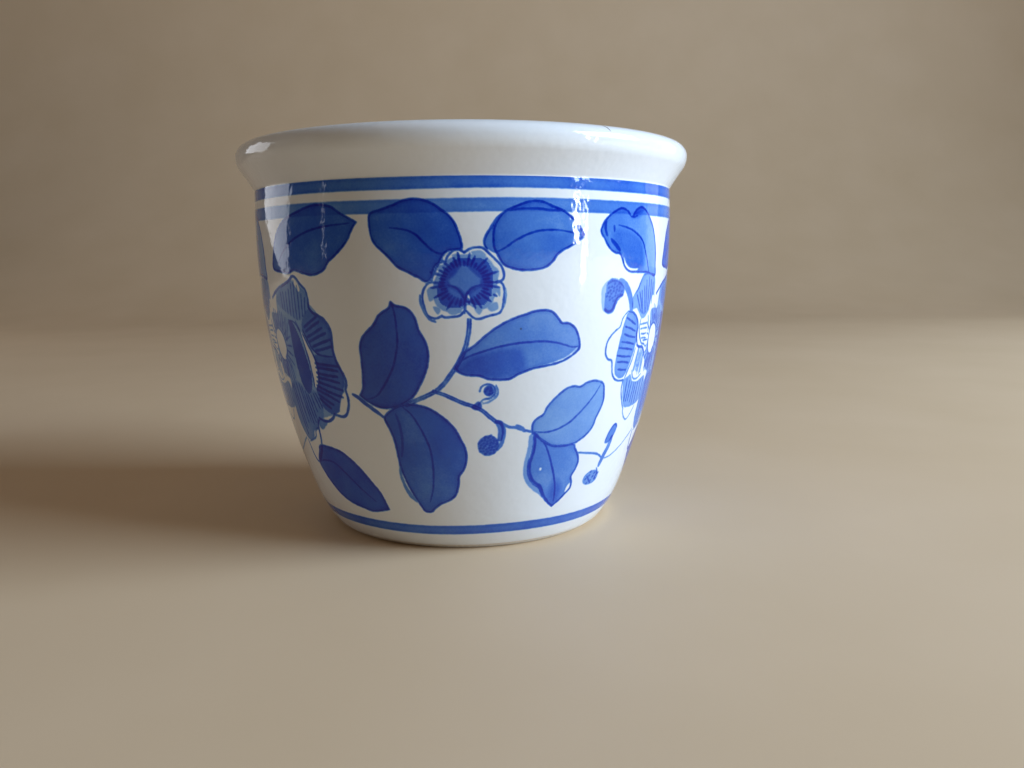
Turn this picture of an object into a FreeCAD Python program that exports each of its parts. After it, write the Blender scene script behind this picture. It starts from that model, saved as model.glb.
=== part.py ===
# A handle-less porcelain teacup with a flared lip and a turned foot ring.
# Millimetres, +Z up. The origin is the centre of the circle that the cup stands on.
#
# Everything is turned about Z. Two outlines shape the cup, one outside and one inside, and
# both are chains of tangent arcs. The fired surface and the clay under the glaze share the
# same arc centres, so the clay is the same outline drawn one glaze thickness further in.
import FreeCAD, Part
import math
import os
import Sketcher

DIMENSIONS = {
    # outside
    "lip_radius": 45.0,            # widest circle of the lip
    "lip_height": 72.8,            # height of that circle
    "lip_round": 2.2,              # rounding above that circle, up to the crest
    "under_lip_arc": 4.0,          # softer rounding below it, down to the flare
    "flare_centre_radius": 92.8,   # centre of the nearly straight curve from neck to lip
    "flare_centre_height": 35.2,
    "wall_radius": 41.9,           # widest circle of the wall
    "wall_height": 59.4,           # height of that circle
    "wall_arc": 144.4,             # long gentle curve of the wall
    "foot_arc": 26.0,              # tighter curve that carries the wall down to the foot
    "foot_arc_height": 16.6,       # height of that curve's centre
    # inside
    "inner_lip_round": 1.0,
    "inner_flare_arc": 25.0,
    "wall_thickness": 3.0,         # clay and both coats of glaze
    "corner_arc": 18.0,            # wall to floor, inside
    "floor_height": 7.0,           # where the tea stands
    "cutter_top": 80.0,            # any height above the lip
    # foot
    "foot_depth": 2.6,             # hollow under the floor
    "foot_inner_radius": 24.0,
    "foot_edge_round": 0.8,
    # glaze and painted lines
    "glaze": 0.3,
    "glaze_stop": 1.0,             # the glaze is wiped off below this height
    "upper_line_height": 65.55,
    "upper_line_width": 2.0,
    "lower_line_height": 61.9,
    "lower_line_width": 2.2,
    "foot_line_height": 4.5,
    "foot_line_width": 1.9,
    "slab_radius": 60.0,           # wider than the cup, for the slabs that cut the lines
}
D = DIMENSIONS

doc = FreeCAD.newDocument("teacup")
sheet = doc.addObject("Spreadsheet::Sheet", "Sizes")
for row, (alias, value) in enumerate(DIMENSIONS.items(), start=1):
    sheet.set(f"A{row}", alias)
    sheet.set(f"B{row}", str(value))
    sheet.setAlias(f"B{row}", alias)
doc.recompute()

START, END, CENTRE = 1, 2, 3
ORIGIN = -1
VERTICAL_AXIS = -2


def polar(centre, radius, angle):
    return FreeCAD.Vector(
        centre[0] + radius * math.cos(angle), centre[1] + radius * math.sin(angle), 0
    )


def angle_to(centre, point):
    return math.atan2(point[1] - centre[1], point[0] - centre[0])


def meeting_point(first, first_radius, second, second_radius, side):
    """Where two circles cross; side is +1 or -1, left or right of the way from first to second."""
    apart = math.dist(first, second)
    along = (first_radius**2 - second_radius**2 + apart**2) / (2 * apart)
    aside = side * math.sqrt(max(first_radius**2 - along**2, 0.0))
    ux = (second[0] - first[0]) / apart
    uz = (second[1] - first[1]) / apart
    return (first[0] + along * ux - aside * uz, first[1] + along * uz + aside * ux)


# Arc centres, worked out once as starting points. The sketches' own constraints hold them.
wall_centre = (D["wall_radius"] - D["wall_arc"], D["wall_height"])
lip_centre = (D["lip_radius"] - D["lip_round"], D["lip_height"])
crest_radius, crest_height = lip_centre[0], lip_centre[1] + D["lip_round"]
under_lip_centre = (D["lip_radius"] - D["under_lip_arc"], D["lip_height"])
flare_centre = (D["flare_centre_radius"], D["flare_centre_height"])
flare_arc = math.dist(flare_centre, under_lip_centre) - D["under_lip_arc"]
foot_centre_rise = D["foot_arc_height"] - wall_centre[1]
foot_centre_reach = math.sqrt((D["wall_arc"] - D["foot_arc"]) ** 2 - foot_centre_rise**2)
foot_centre = (wall_centre[0] + foot_centre_reach, D["foot_arc_height"])
inner_lip_centre = (crest_radius, crest_height - D["inner_lip_round"])
inner_wall_arc = D["wall_arc"] - D["wall_thickness"]
inner_flare_centre = meeting_point(
    wall_centre, inner_wall_arc + D["inner_flare_arc"],
    inner_lip_centre, D["inner_flare_arc"] - D["inner_lip_round"], -1,
)
corner_height = D["floor_height"] + D["corner_arc"]
corner_reach = math.sqrt(
    (inner_wall_arc - D["corner_arc"]) ** 2 - (corner_height - wall_centre[1]) ** 2
)
corner_centre = (wall_centre[0] + corner_reach, corner_height)


def new_body(label):
    body = doc.addObject("PartDesign::Body", label)
    body.Label = label
    return body


def new_sketch(body, name):
    """A sketch on the body's XZ plane: its X is the radius, its Y is the height."""
    sketch = body.newObject("Sketcher::SketchObject", name)
    plane = next(f for f in body.Origin.OriginFeatures if f.Role == "XZ_Plane")
    sketch.AttachmentSupport = [(plane, "")]
    sketch.MapMode = "FlatFace"
    return sketch


def add_line(sketch, start, end):
    segment = Part.LineSegment(FreeCAD.Vector(*start, 0), FreeCAD.Vector(*end, 0))
    return sketch.addGeometry(segment, False)


def add_arc(sketch, centre, radius, low, high):
    """An arc from angle low to angle high, anticlockwise."""
    circle = Part.Circle(FreeCAD.Vector(*centre, 0), FreeCAD.Vector(0, 0, 1), radius)
    return sketch.addGeometry(Part.ArcOfCircle(circle, low, high), False)


def join(sketch, first, first_end, second, second_end):
    sketch.addConstraint(Sketcher.Constraint("Coincident", first, first_end, second, second_end))


def smooth_join(sketch, first, first_end, second, second_end):
    sketch.addConstraint(Sketcher.Constraint("Tangent", first, first_end, second, second_end))


def bind(sketch, kind, geometry, value, expression):
    """A dimension tied to the sheet. geometry is the constraint's own list of elements."""
    index = sketch.addConstraint(Sketcher.Constraint(kind, *geometry, value))
    sketch.setExpression(f"Constraints[{index}]", expression)


def bind_height(sketch, element, point, value, expression):
    bind(sketch, "DistanceY", (ORIGIN, START, element, point), value, expression)


def bind_radius_from_axis(sketch, element, point, value, expression):
    bind(sketch, "DistanceX", (ORIGIN, START, element, point), value, expression)


def close_on_axis(sketch, bottom_line, top_line, bottom, top):
    """The edge on Z that closes an outline from its top line to its bottom line."""
    axis_line = add_line(sketch, (0, top), (0, bottom))
    join(sketch, top_line, END, axis_line, START)
    join(sketch, axis_line, END, bottom_line, START)
    sketch.addConstraint(Sketcher.Constraint("Vertical", axis_line))
    sketch.addConstraint(Sketcher.Constraint("PointOnObject", axis_line, START, VERTICAL_AXIS))
    sketch.addConstraint(Sketcher.Constraint("Horizontal", bottom_line))
    sketch.addConstraint(Sketcher.Constraint("Horizontal", top_line))


def outside_outline(body, name, inset, bottom_alias):
    """The cup's outside, filled in to the axis, with a flat top at the crest of the lip.

    inset is 0 for the fired surface or the glaze thickness for the clay under it.
    """
    skin = D["glaze"] if inset else 0.0
    less = " - Sizes.glaze" if inset else ""
    sketch = new_sketch(body, name)
    bottom = D[bottom_alias]
    foot_angle = math.asin((bottom - foot_centre[1]) / (D["foot_arc"] - skin))
    join_angle = angle_to(wall_centre, foot_centre)
    neck = meeting_point(
        wall_centre, D["wall_arc"] - skin, flare_centre, flare_arc + skin, 1
    )
    flare_turn = angle_to(flare_centre, under_lip_centre)
    bottom_end = polar(foot_centre, D["foot_arc"] - skin, foot_angle)

    floor = add_line(sketch, (0, bottom), (bottom_end.x, bottom))
    foot = add_arc(sketch, foot_centre, D["foot_arc"] - skin, foot_angle, join_angle)
    wall = add_arc(
        sketch, wall_centre, D["wall_arc"] - skin, join_angle, angle_to(wall_centre, neck)
    )
    flare = add_arc(
        sketch, flare_centre, flare_arc + skin, flare_turn, angle_to(flare_centre, neck)
    )
    under_lip = add_arc(
        sketch, under_lip_centre, D["under_lip_arc"] - skin, flare_turn - math.pi, 0
    )
    lip = add_arc(sketch, lip_centre, D["lip_round"] - skin, 0, math.pi / 2)
    top_height = crest_height - skin
    top = add_line(sketch, (crest_radius, top_height), (0, top_height))

    join(sketch, floor, END, foot, START)
    smooth_join(sketch, foot, END, wall, START)
    join(sketch, wall, END, flare, END)
    smooth_join(sketch, flare, START, under_lip, START)
    smooth_join(sketch, under_lip, END, lip, START)
    smooth_join(sketch, lip, END, top, START)
    close_on_axis(sketch, floor, top, bottom, top_height)

    bind_height(sketch, floor, END, bottom, f"Sizes.{bottom_alias}")
    bind(sketch, "Radius", (foot,), D["foot_arc"] - skin, f"Sizes.foot_arc{less}")
    bind_height(sketch, foot, CENTRE, foot_centre[1], "Sizes.foot_arc_height")
    bind(sketch, "Radius", (wall,), D["wall_arc"] - skin, f"Sizes.wall_arc{less}")
    bind_radius_from_axis(
        sketch, wall, CENTRE, wall_centre[0], "Sizes.wall_radius - Sizes.wall_arc"
    )
    bind_height(sketch, wall, CENTRE, wall_centre[1], "Sizes.wall_height")
    bind_radius_from_axis(
        sketch, flare, CENTRE, flare_centre[0], "Sizes.flare_centre_radius"
    )
    bind_height(sketch, flare, CENTRE, flare_centre[1], "Sizes.flare_centre_height")
    bind(
        sketch, "Radius", (under_lip,), D["under_lip_arc"] - skin, f"Sizes.under_lip_arc{less}"
    )
    bind_height(sketch, under_lip, CENTRE, under_lip_centre[1], "Sizes.lip_height")
    bind(sketch, "Radius", (lip,), D["lip_round"] - skin, f"Sizes.lip_round{less}")
    bind_radius_from_axis(
        sketch, lip, CENTRE, lip_centre[0], "Sizes.lip_radius - Sizes.lip_round"
    )
    bind_height(sketch, lip, CENTRE, lip_centre[1], "Sizes.lip_height")
    return sketch


def inside_outline(body, name, inset):
    """The cup's hollow, filled in to the axis, with a column above the crest of the lip.

    inset is 0 for the glazed surface or the glaze thickness for the clay behind it.
    """
    skin = D["glaze"] if inset else 0.0
    more = " + Sizes.glaze" if inset else ""
    less = " - Sizes.glaze" if inset else ""
    sketch = new_sketch(body, name)
    floor_height = D["floor_height"] - skin
    corner_turn = angle_to(wall_centre, corner_centre)
    flare_foot = angle_to(wall_centre, inner_flare_centre)
    flare_top = angle_to(inner_flare_centre, inner_lip_centre)
    crest = (crest_radius, crest_height - skin)
    column_top = D["cutter_top"]

    floor = add_line(sketch, (0, floor_height), (corner_centre[0], floor_height))
    corner = add_arc(
        sketch, corner_centre, D["corner_arc"] + skin, -math.pi / 2, corner_turn
    )
    wall = add_arc(sketch, wall_centre, inner_wall_arc + skin, corner_turn, flare_foot)
    flare = add_arc(
        sketch, inner_flare_centre, D["inner_flare_arc"] - skin, flare_top, flare_foot + math.pi
    )
    lip = add_arc(
        sketch, inner_lip_centre, D["inner_lip_round"] - skin, math.pi / 2, flare_top
    )
    side = add_line(sketch, crest, (crest_radius, column_top))
    top = add_line(sketch, (crest_radius, column_top), (0, column_top))

    smooth_join(sketch, floor, END, corner, START)
    smooth_join(sketch, corner, END, wall, START)
    smooth_join(sketch, wall, END, flare, END)
    smooth_join(sketch, flare, START, lip, END)
    join(sketch, lip, START, side, START)
    join(sketch, side, END, top, START)
    sketch.addConstraint(Sketcher.Constraint("Vertical", side))
    sketch.addConstraint(Sketcher.Constraint("Vertical", lip, CENTRE, lip, START))
    close_on_axis(sketch, floor, top, floor_height, column_top)

    bind_height(sketch, floor, END, floor_height, f"Sizes.floor_height{less}")
    bind(sketch, "Radius", (corner,), D["corner_arc"] + skin, f"Sizes.corner_arc{more}")
    bind(
        sketch, "Radius", (wall,), inner_wall_arc + skin,
        f"Sizes.wall_arc - Sizes.wall_thickness{more}",
    )
    bind_radius_from_axis(
        sketch, wall, CENTRE, wall_centre[0], "Sizes.wall_radius - Sizes.wall_arc"
    )
    bind_height(sketch, wall, CENTRE, wall_centre[1], "Sizes.wall_height")
    bind(
        sketch, "Radius", (flare,), D["inner_flare_arc"] - skin, f"Sizes.inner_flare_arc{less}"
    )
    bind(
        sketch, "Radius", (lip,), D["inner_lip_round"] - skin, f"Sizes.inner_lip_round{less}"
    )
    bind_radius_from_axis(
        sketch, lip, CENTRE, inner_lip_centre[0], "Sizes.lip_radius - Sizes.lip_round"
    )
    bind_height(
        sketch, lip, CENTRE, inner_lip_centre[1],
        "Sizes.lip_height + Sizes.lip_round - Sizes.inner_lip_round",
    )
    bind_height(sketch, top, START, column_top, "Sizes.cutter_top")
    return sketch


def turn(body, sketch, kind, name):
    """A full turn of the sketch about Z: a Revolution adds it, a Groove cuts it away."""
    feature = body.newObject(f"PartDesign::{kind}", name)
    feature.Profile = sketch
    feature.ReferenceAxis = (sketch, ["V_Axis"])
    feature.Angle = 360.0
    sketch.Visibility = False
    doc.recompute()
    return feature


# The cup itself: thrown and turned porcelain from the lip down to the underside of the floor.
body = new_body("porcelain_body")
turn(body, outside_outline(body, "body_outside", True, "foot_depth"), "Revolution", "body_blank")
turn(body, inside_outline(body, "body_inside", True), "Groove", "body_hollow")

# The foot ring: the same clay, left standing when the underside was hollowed out on the wheel.
foot_ring = new_body("foot_ring")
ring = new_sketch(foot_ring, "foot_section")
clay_arc = D["foot_arc"] - D["glaze"]
ring_low = math.asin(-foot_centre[1] / clay_arc)
ring_high = math.asin((D["foot_depth"] - foot_centre[1]) / clay_arc)
rest_radius = polar(foot_centre, clay_arc, ring_low).x
top_radius = polar(foot_centre, clay_arc, ring_high).x
rest_line = add_line(ring, (D["foot_inner_radius"], 0), (rest_radius, 0))
outer_side = add_arc(ring, foot_centre, clay_arc, ring_low, ring_high)
top_line = add_line(ring, (top_radius, D["foot_depth"]), (D["foot_inner_radius"], D["foot_depth"]))
inner_side = add_line(ring, (D["foot_inner_radius"], D["foot_depth"]), (D["foot_inner_radius"], 0))
join(ring, rest_line, END, outer_side, START)
join(ring, outer_side, END, top_line, START)
join(ring, top_line, END, inner_side, START)
join(ring, inner_side, END, rest_line, START)
ring.addConstraint(Sketcher.Constraint("Horizontal", top_line))
ring.addConstraint(Sketcher.Constraint("Vertical", inner_side))
ring.addConstraint(Sketcher.Constraint("PointOnObject", rest_line, START, ORIGIN))
ring.addConstraint(Sketcher.Constraint("PointOnObject", rest_line, END, ORIGIN))
bind_radius_from_axis(ring, inner_side, END, D["foot_inner_radius"], "Sizes.foot_inner_radius")
bind_height(ring, top_line, END, D["foot_depth"], "Sizes.foot_depth")
bind(ring, "Radius", (outer_side,), clay_arc, "Sizes.foot_arc - Sizes.glaze")
bind_height(ring, outer_side, CENTRE, foot_centre[1], "Sizes.foot_arc_height")
bind_radius_from_axis(
    ring, outer_side, CENTRE, foot_centre[0],
    "Sizes.wall_radius - Sizes.wall_arc + sqrt((Sizes.wall_arc - Sizes.foot_arc)^2"
    " - (Sizes.foot_arc_height - Sizes.wall_height)^2)",
)
ring_turned = turn(foot_ring, ring, "Revolution", "foot_turned")
rest_edges = [
    f"Edge{number}"
    for number, edge in enumerate(ring_turned.Shape.Edges, start=1)
    if edge.BoundBox.ZMax < 0.01 and edge.Curve.TypeId == "Part::GeomCircle"
]
rounding = foot_ring.newObject("PartDesign::Fillet", "foot_edges")
rounding.Base = (ring_turned, rest_edges)
rounding.setExpression("Radius", "Sizes.foot_edge_round")

# The lining: clear white glaze over the whole inside, up to the crest of the lip.
inner_glaze = new_body("inner_glaze")
turn(inner_glaze, inside_outline(inner_glaze, "lining_back", True), "Revolution", "lining_blank")
turn(inner_glaze, inside_outline(inner_glaze, "lining_face", False), "Groove", "lining_hollow")

# The coat over the outside, from the crest of the lip down to the bare edge of the foot.
coat = new_body("outer_coat")
turn(coat, outside_outline(coat, "coat_face", False, "glaze_stop"), "Revolution", "coat_blank")
turn(coat, outside_outline(coat, "coat_back", True, "glaze_stop"), "Groove", "coat_hollow")
turn(coat, inside_outline(coat, "coat_end", True), "Groove", "coat_crest")

# Three painted lines. Cobalt brushed on the turning cup stains the coat right through, so each
# line is a ring of the coat, and the clear coat is what lies between the rings.
line_slabs = []
painted_lines = []
for line in ("upper_line", "lower_line", "foot_line"):
    slab = doc.addObject("Part::Cylinder", f"{line}_slab")
    slab.setExpression("Radius", "Sizes.slab_radius")
    slab.setExpression("Height", f"Sizes.{line}_width")
    slab.setExpression("Placement.Base.z", f"Sizes.{line}_height - Sizes.{line}_width / 2")
    ring_of_coat = doc.addObject("Part::Common", f"cobalt_{line}")
    ring_of_coat.Base = coat
    ring_of_coat.Tool = slab
    ring_of_coat.Label = f"cobalt_{line}"
    line_slabs.append(slab)
    painted_lines.append(ring_of_coat)
all_slabs = doc.addObject("Part::MultiFuse", "line_slabs")
all_slabs.Shapes = line_slabs
outer_glaze = doc.addObject("Part::Cut", "outer_glaze")
outer_glaze.Base = coat
outer_glaze.Tool = all_slabs
outer_glaze.Label = "outer_glaze"

# The patch of glaze on the underside of the floor, inside the foot ring.
base_glaze = doc.addObject("Part::Cylinder", "base_glaze")
base_glaze.Label = "base_glaze"
base_glaze.setExpression("Radius", "Sizes.foot_inner_radius")
base_glaze.setExpression("Height", "Sizes.glaze")
base_glaze.setExpression("Placement.Base.z", "Sizes.foot_depth - Sizes.glaze")

doc.recompute()

for item in doc.Objects:
    if "Invalid" in item.State or "Error" in item.State:
        raise RuntimeError(f"{item.Name} failed: {item.State}")

os.makedirs("parts", exist_ok=True)
for node in [body, foot_ring, inner_glaze, outer_glaze, base_glaze, *painted_lines]:
    shape = node.Shape
    if shape.isNull() or not shape.isValid():
        raise RuntimeError(f"{node.Label} has no valid shape")
    shape.exportStep(f"parts/{node.Label}.step")
    size = shape.optimalBoundingBox()
    print(
        f"{node.Label}: {len(shape.Solids)} solid(s), {shape.Volume:.1f} mm3,"
        f" radius {size.XMax:.2f}, height {size.ZMin:.2f} to {size.ZMax:.2f}"
    )
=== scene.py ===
import math

import bmesh
import bpy
import numpy as np
from mathutils import Matrix, Vector


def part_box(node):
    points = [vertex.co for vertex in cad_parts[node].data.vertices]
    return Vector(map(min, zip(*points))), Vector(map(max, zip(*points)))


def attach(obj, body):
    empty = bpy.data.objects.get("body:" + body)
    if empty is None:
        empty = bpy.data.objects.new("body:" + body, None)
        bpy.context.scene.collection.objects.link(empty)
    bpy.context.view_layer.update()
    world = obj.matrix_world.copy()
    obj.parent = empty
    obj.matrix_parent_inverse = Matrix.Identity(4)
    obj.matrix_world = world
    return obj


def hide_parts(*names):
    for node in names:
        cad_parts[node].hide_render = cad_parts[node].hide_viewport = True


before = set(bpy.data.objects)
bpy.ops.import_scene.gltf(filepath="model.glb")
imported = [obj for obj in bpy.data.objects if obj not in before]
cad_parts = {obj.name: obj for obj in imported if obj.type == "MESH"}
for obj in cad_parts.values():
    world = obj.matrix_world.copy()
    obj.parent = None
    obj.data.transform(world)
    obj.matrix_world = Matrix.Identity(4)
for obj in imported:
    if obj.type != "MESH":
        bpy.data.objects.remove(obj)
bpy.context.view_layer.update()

# The view: a hand's length from the cup, level with its upper half and tipped down a little, so
# that the lip arches up and the foot arches down.
CAMERA_PLACE = Vector((0.0, -0.18216, 0.05356))
CAMERA_YAW, CAMERA_PITCH, CAMERA_ROLL = (math.radians(a) for a in (2.97, 8.38, -0.55))
SENSOR_WIDTH, FOCAL_LENGTH = 36.0, 30.23    # mm
NEAREST_SEEN = 0.01


def put(name, data):
    """An object in the scene that holds some data."""
    thing = bpy.data.objects.new(name, data)
    bpy.context.scene.collection.objects.link(thing)
    return thing


camera = put("camera", bpy.data.cameras.new("camera"))
camera.data.sensor_width = SENSOR_WIDTH
camera.data.lens = FOCAL_LENGTH
camera.data.clip_start = NEAREST_SEEN
looking = Vector((
    math.sin(CAMERA_YAW) * math.cos(CAMERA_PITCH),
    math.cos(CAMERA_YAW) * math.cos(CAMERA_PITCH),
    -math.sin(CAMERA_PITCH),
))
level_right = Vector((math.cos(CAMERA_YAW), -math.sin(CAMERA_YAW), 0.0))
level_up = level_right.cross(looking)
right = math.cos(CAMERA_ROLL) * level_right + math.sin(CAMERA_ROLL) * level_up
up = -math.sin(CAMERA_ROLL) * level_right + math.cos(CAMERA_ROLL) * level_up
turned = Matrix((right, up, -looking)).transposed().to_4x4()
camera.matrix_world = Matrix.Translation(CAMERA_PLACE) @ turned
bpy.context.scene.camera = camera
bpy.context.scene.view_settings.view_transform = "Standard"


# The table: a plain pale sheet of matt laminate that sweeps up behind the cup.
MM = 0.001


def srgb(code):
    """A colour written as sRGB hex, as the linear RGBA that a shader takes."""
    parts = [int(code[i:i + 2], 16) / 255 for i in (0, 2, 4)]
    return (*[c / 12.92 if c <= 0.04045 else ((c + 0.055) / 1.055) ** 2.4 for c in parts], 1.0)


def new_material(name):
    """A material, its node tree and its Principled shader, already wired to the output."""
    material = bpy.data.materials.new(name)
    material.use_nodes = True
    tree = material.node_tree
    return material, tree, tree.nodes["Principled BSDF"]


def wire(node, *places, **names):
    """Sets a node's inputs, by place or by name with _ for a space.

    An input takes a number, a colour or another node's output.
    """
    for key, value in [*enumerate(places), *names.items()]:
        socket = node.inputs[key.replace("_", " ") if isinstance(key, str) else key]
        if isinstance(value, bpy.types.NodeSocket):
            node.id_data.links.new(value, socket)
        else:
            socket.default_value = value


def add(tree, kind, settings, *places, out=0, **names):
    """A node with its settings and inputs. Gives back its first output, or the one named out."""
    node = tree.nodes.new("ShaderNode" + kind)
    for key, value in settings.items():
        setattr(node, key, value)
    wire(node, *places, **names)
    return node.outputs[out]


def made(name, bm):
    """The object that a finished bmesh becomes: faces turned outwards and shaded smooth."""
    bmesh.ops.recalc_face_normals(bm, faces=bm.faces)
    for face in bm.faces:
        face.smooth = True
    mesh = bpy.data.meshes.new(name)
    bm.to_mesh(mesh)
    bm.free()
    return put(name, mesh)


# pressed laminate: even, pale and nearly without shine, with broad faint clouds of shade
TABLE_COLOUR, TABLE_SHADE = "dac1a1", "cfb592"
CLOUD_SIZE = 60     # mm
table_material, tree, surface = new_material("matt_laminate")
where = add(tree, "TexCoord", {}, out="Object")
clouds = add(tree, "TexNoise", {}, Vector=where, Scale=1 / (CLOUD_SIZE * MM), Detail=3.0)
shades = add(tree, "ValToRGB", {}, clouds)
for stop, colour in zip(shades.node.color_ramp.elements, (TABLE_SHADE, TABLE_COLOUR)):
    stop.color = srgb(colour)
wire(surface, Base_Color=shades, Roughness=0.6)
SWEEP_START, SWEEP_RADIUS, TABLE_HALF, WALL_RISE = 0.55, 0.35, 2.2, 1.6
SWEEP_STEPS = 12
bm = bmesh.new()
side = [bm.verts.new((-TABLE_HALF, -TABLE_HALF, 0)), bm.verts.new((-TABLE_HALF, SWEEP_START, 0))]
for step in range(1, SWEEP_STEPS + 1):
    turn = math.radians(90 * step / SWEEP_STEPS)
    out, rise = SWEEP_RADIUS * math.sin(turn), SWEEP_RADIUS * (1 - math.cos(turn))
    side.append(bm.verts.new((-TABLE_HALF, SWEEP_START + out, rise)))
side.append(bm.verts.new((-TABLE_HALF, SWEEP_START + SWEEP_RADIUS, WALL_RISE)))
edges = [bm.edges.new(pair) for pair in zip(side, side[1:])]
swept = bmesh.ops.extrude_edge_only(bm, edges=edges)
moved = [item for item in swept["geom"] if isinstance(item, bmesh.types.BMVert)]
bmesh.ops.translate(bm, verts=moved, vec=(2 * TABLE_HALF, 0, 0))
table = made("table", bm)
table.data.materials.append(table_material)

# The light: soft daylight from the right and above, paler light from the rest of the room, and
# low bright slits close by that draw the narrow upright streaks on the glaze.
LIGHTS = {
    # name: (degrees round from the camera's side to the right, elevation, distance from the
    #        cup, width, height, turn about its own axis, watts, colour), in metres
    "daylight": (75, 23, 0.85, 0.50, 0.36, 0, 11.4, "cfe6ff"),
    "window": (119, 9, 0.75, 0.20, 0.30, 0, 0.20, "e4f1ff"),
    "streak_wide": (56.5, 5.2, 0.36, 0.016, 0.055, 4, 0.100, "f4f9ff"),
    "streak_long": (61.0, 1, 0.36, 0.006, 0.100, -3, 0.055, "f4f9ff"),
    "far_window": (-114, 9, 0.75, 0.33, 0.28, -24, 0.62, "e8ecf4"),
    "far_streak": (-74, 5, 0.36, 0.005, 0.085, 0, 0.0035, "eef0f6"),
    "ceiling": (-20, 76, 0.90, 0.80, 0.80, 0, 0.75, "ffe9d2"),
}
AIM_HEIGHT = 0.045
for name, (azimuth, elevation, distance, width, height, turn, watts, colour) in LIGHTS.items():
    lamp = bpy.data.lights.new(name, "AREA")
    lamp.shape = "RECTANGLE"
    lamp.size, lamp.size_y = width, height
    lamp.energy = watts
    lamp.color = srgb(colour)[:3]
    holder = put(name, lamp)
    holder.visible_camera = False
    around, lift = math.radians(azimuth), math.radians(elevation)
    away = Vector((
        math.sin(around) * math.cos(lift), -math.cos(around) * math.cos(lift), math.sin(lift)
    ))
    holder.location = Vector((0, 0, AIM_HEIGHT)) + away * distance
    facing = (-away).to_track_quat("-Z", "Y").to_matrix()
    holder.rotation_euler = (facing @ Matrix.Rotation(math.radians(turn), 3, "Z")).to_euler()
ROOM_COLOUR, ROOM_STRENGTH = "f6d8bc", 0.085
world = bpy.data.worlds.new("room")
bpy.context.scene.world = world
world.use_nodes = True
wire(world.node_tree.nodes["Background"], Color=srgb(ROOM_COLOUR), Strength=ROOM_STRENGTH)

# The cup's clay: one thrown and turned piece of white porcelain, fired hard. Glaze covers it all
# but the foot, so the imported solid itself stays, with the bare clay's finish.
# bare biscuit porcelain: chalky, dead matt and faintly warm, with a grain from turning that is
# drawn coarser than it is so that it shows, and a little dark dust low down, rubbed off tables
CLAY, CLAY_SHADE, TABLE_DUST = "e6e1d8", "d8d1c5", "a89d8e"
GRAIN, GRAIN_DEPTH, DUST_HEIGHT, DUST_PATCH = 0.35, 0.03, 0.9, 4    # mm
DUST_DEPTH = 0.35
MIXES_COLOURS = {"data_type": "RGBA"}
bare_clay, tree, surface = new_material("bare_biscuit_porcelain")
where = add(tree, "TexCoord", {}, out="Object")
grain = add(tree, "TexNoise", {}, Vector=where, Scale=1 / (GRAIN * MM), Detail=3.0)
patches = add(tree, "TexNoise", {}, Vector=where, Scale=1 / (DUST_PATCH * MM), Detail=4.0)
shades = add(tree, "ValToRGB", {}, grain)
for stop, place, colour in zip(shades.node.color_ramp.elements, (0.3, 0.7), (CLAY_SHADE, CLAY)):
    stop.position = place
    stop.color = srgb(colour)
height = add(tree, "SeparateXYZ", {}, where, out="Z")
low = add(tree, "MapRange", {}, height, DUST_HEIGHT * MM, 0.0, 0.0, DUST_DEPTH)
dusty = add(tree, "Math", {"operation": "MULTIPLY"}, low, patches)
dusted = add(tree, "Mix", MIXES_COLOURS, Factor=dusty, A=shades, B=srgb(TABLE_DUST), out="Result")
bump = add(tree, "Bump", {}, Strength=0.5, Distance=GRAIN_DEPTH * MM, Height=grain)
wire(surface, Base_Color=dusted, Roughness=0.85, IOR=1.5, Normal=bump)
clay_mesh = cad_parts["porcelain_body"].data
clay_mesh.materials.clear()
clay_mesh.materials.append(bare_clay)

# The foot ring: the same clay, left standing when the underside was hollowed on the wheel. The
# cup stands on it, so it is wiped clean of glaze, and its two lower edges are sponged round.
LIP_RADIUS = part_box("outer_glaze")[1][0] / MM
CREST_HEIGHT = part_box("outer_glaze")[1][2] / MM
FOOT_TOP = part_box("foot_ring")[1][2] / MM
HOLLOW_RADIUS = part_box("base_glaze")[1][0] / MM
FOOT_EDGE_ROUND = 0.8
FOOT_STEPS = 240
GLAZE = 0.3
WALL_ARC, WIDEST_AT, WIDEST_INSIDE_LIP = 144.4, 59.4, 3.1
WALL_CENTRE = (LIP_RADIUS - WIDEST_INSIDE_LIP - WALL_ARC, WIDEST_AT)
FOOT_ARC, FOOT_ARC_HEIGHT = 26.0, 16.6
foot_rise = FOOT_ARC_HEIGHT - WALL_CENTRE[1]
FOOT_CENTRE = (
    WALL_CENTRE[0] + math.sqrt((WALL_ARC - FOOT_ARC) ** 2 - foot_rise ** 2), FOOT_ARC_HEIGHT
)
FOOT_JOIN = WALL_CENTRE[1] + foot_rise * WALL_ARC / (WALL_ARC - FOOT_ARC)


def arc(centre, radius, start, end, steps):
    """Points along an arc, from angle start to angle end, in radians."""
    turns = [start + (end - start) * i / steps for i in range(steps + 1)]
    return [(centre[0] + radius * math.cos(t), centre[1] + radius * math.sin(t)) for t in turns]


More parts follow.
